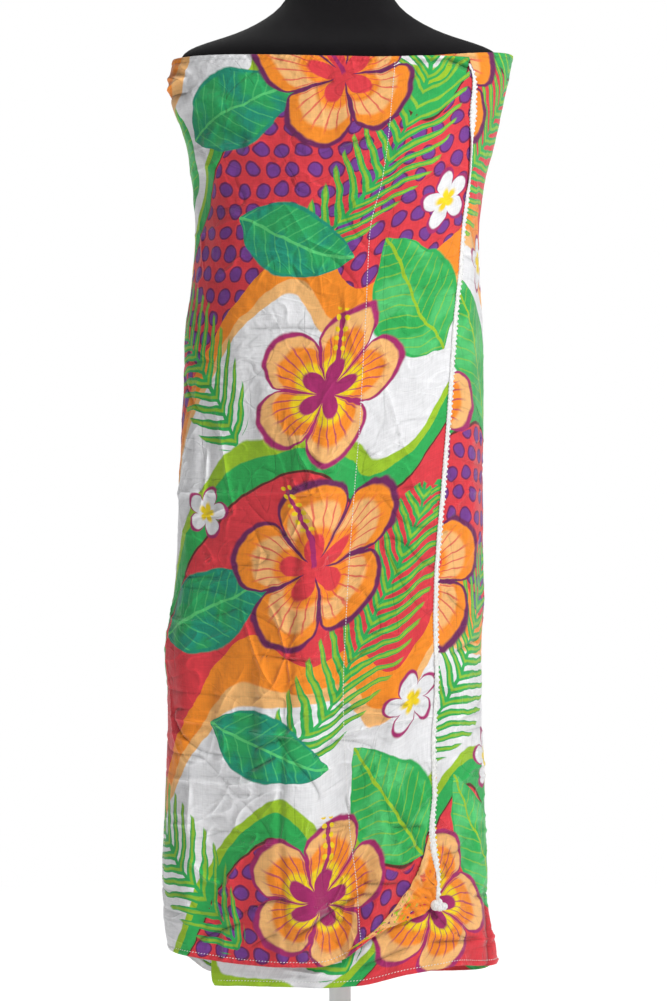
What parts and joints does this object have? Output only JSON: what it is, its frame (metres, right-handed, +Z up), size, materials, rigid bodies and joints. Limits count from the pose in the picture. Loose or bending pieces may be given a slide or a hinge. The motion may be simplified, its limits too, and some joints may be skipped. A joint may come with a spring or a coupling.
{
  "type": "sarong on dress form",
  "caption": "Full-length strapless wrap sarong with a bobble-braided free edge, wound round a limbless flocked dress form on a pole and round base.",
  "frame": {"origin": "centre of the round base's underside, on the floor", "axes": "+Z up, the garment's front faces -Y, +X to the viewer's right"},
  "size_m": [0.3979, 0.36, 1.4123],
  "materials": {
    "printed_voile": "matte printed cotton voile, slightly sheer",
    "white_braid": "white cotton braid with bobbles",
    "black_flock": "black flocked surface, very matte",
    "steel_pole": "white satin painted steel tube",
    "steel_base": "satin painted steel plate"
  },
  "bodies": {
    "root": {"outer_front_stretch": "printed_voile", "end_strip": "printed_voile", "back_stretch": "printed_voile", "under_front_stretch": "printed_voile", "bobble_braid": "white_braid", "braid_end": "white_braid", "dress_form": "black_flock", "neck_cap": "black_flock", "stand_pole": "steel_pole", "stand_base": "steel_base", "base_collar": "steel_pole"}
  },
  "joints": []
}
